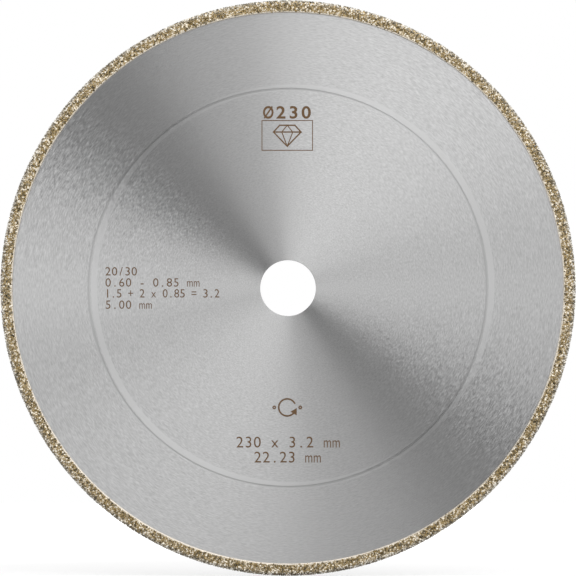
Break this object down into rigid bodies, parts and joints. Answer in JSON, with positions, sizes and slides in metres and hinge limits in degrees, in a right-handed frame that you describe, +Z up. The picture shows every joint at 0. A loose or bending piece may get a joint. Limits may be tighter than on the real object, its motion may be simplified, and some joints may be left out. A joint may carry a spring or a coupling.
{
  "type": "diamond grinding wheel",
  "caption": "Thin steel disc with a central bore and a nickel-bonded diamond grit rim on both faces and the edge, for cutting and grinding on an angle grinder.",
  "frame": {"origin": "centre of the bore, halfway through the steel", "axes": "+Y along the spin axis from the marked front face to the back face, +Z up, +X to the right when looking at the front face"},
  "size_m": [0.23, 0.0032, 0.23],
  "materials": {
    "steel": "satin",
    "nickel": "satin",
    "diamond": "satin"
  },
  "bodies": {
    "root": {"steel_core": "steel", "nickel_bond": "nickel", "front_grit_inner_row": "diamond", "front_grit_middle_row": "diamond", "front_grit_outer_row": "diamond", "front_shoulder_grit": "diamond", "edge_grit": "diamond", "back_shoulder_grit": "diamond", "back_grit_outer_row": "diamond", "back_grit_middle_row": "diamond", "back_grit_inner_row": "diamond"}
  },
  "joints": []
}
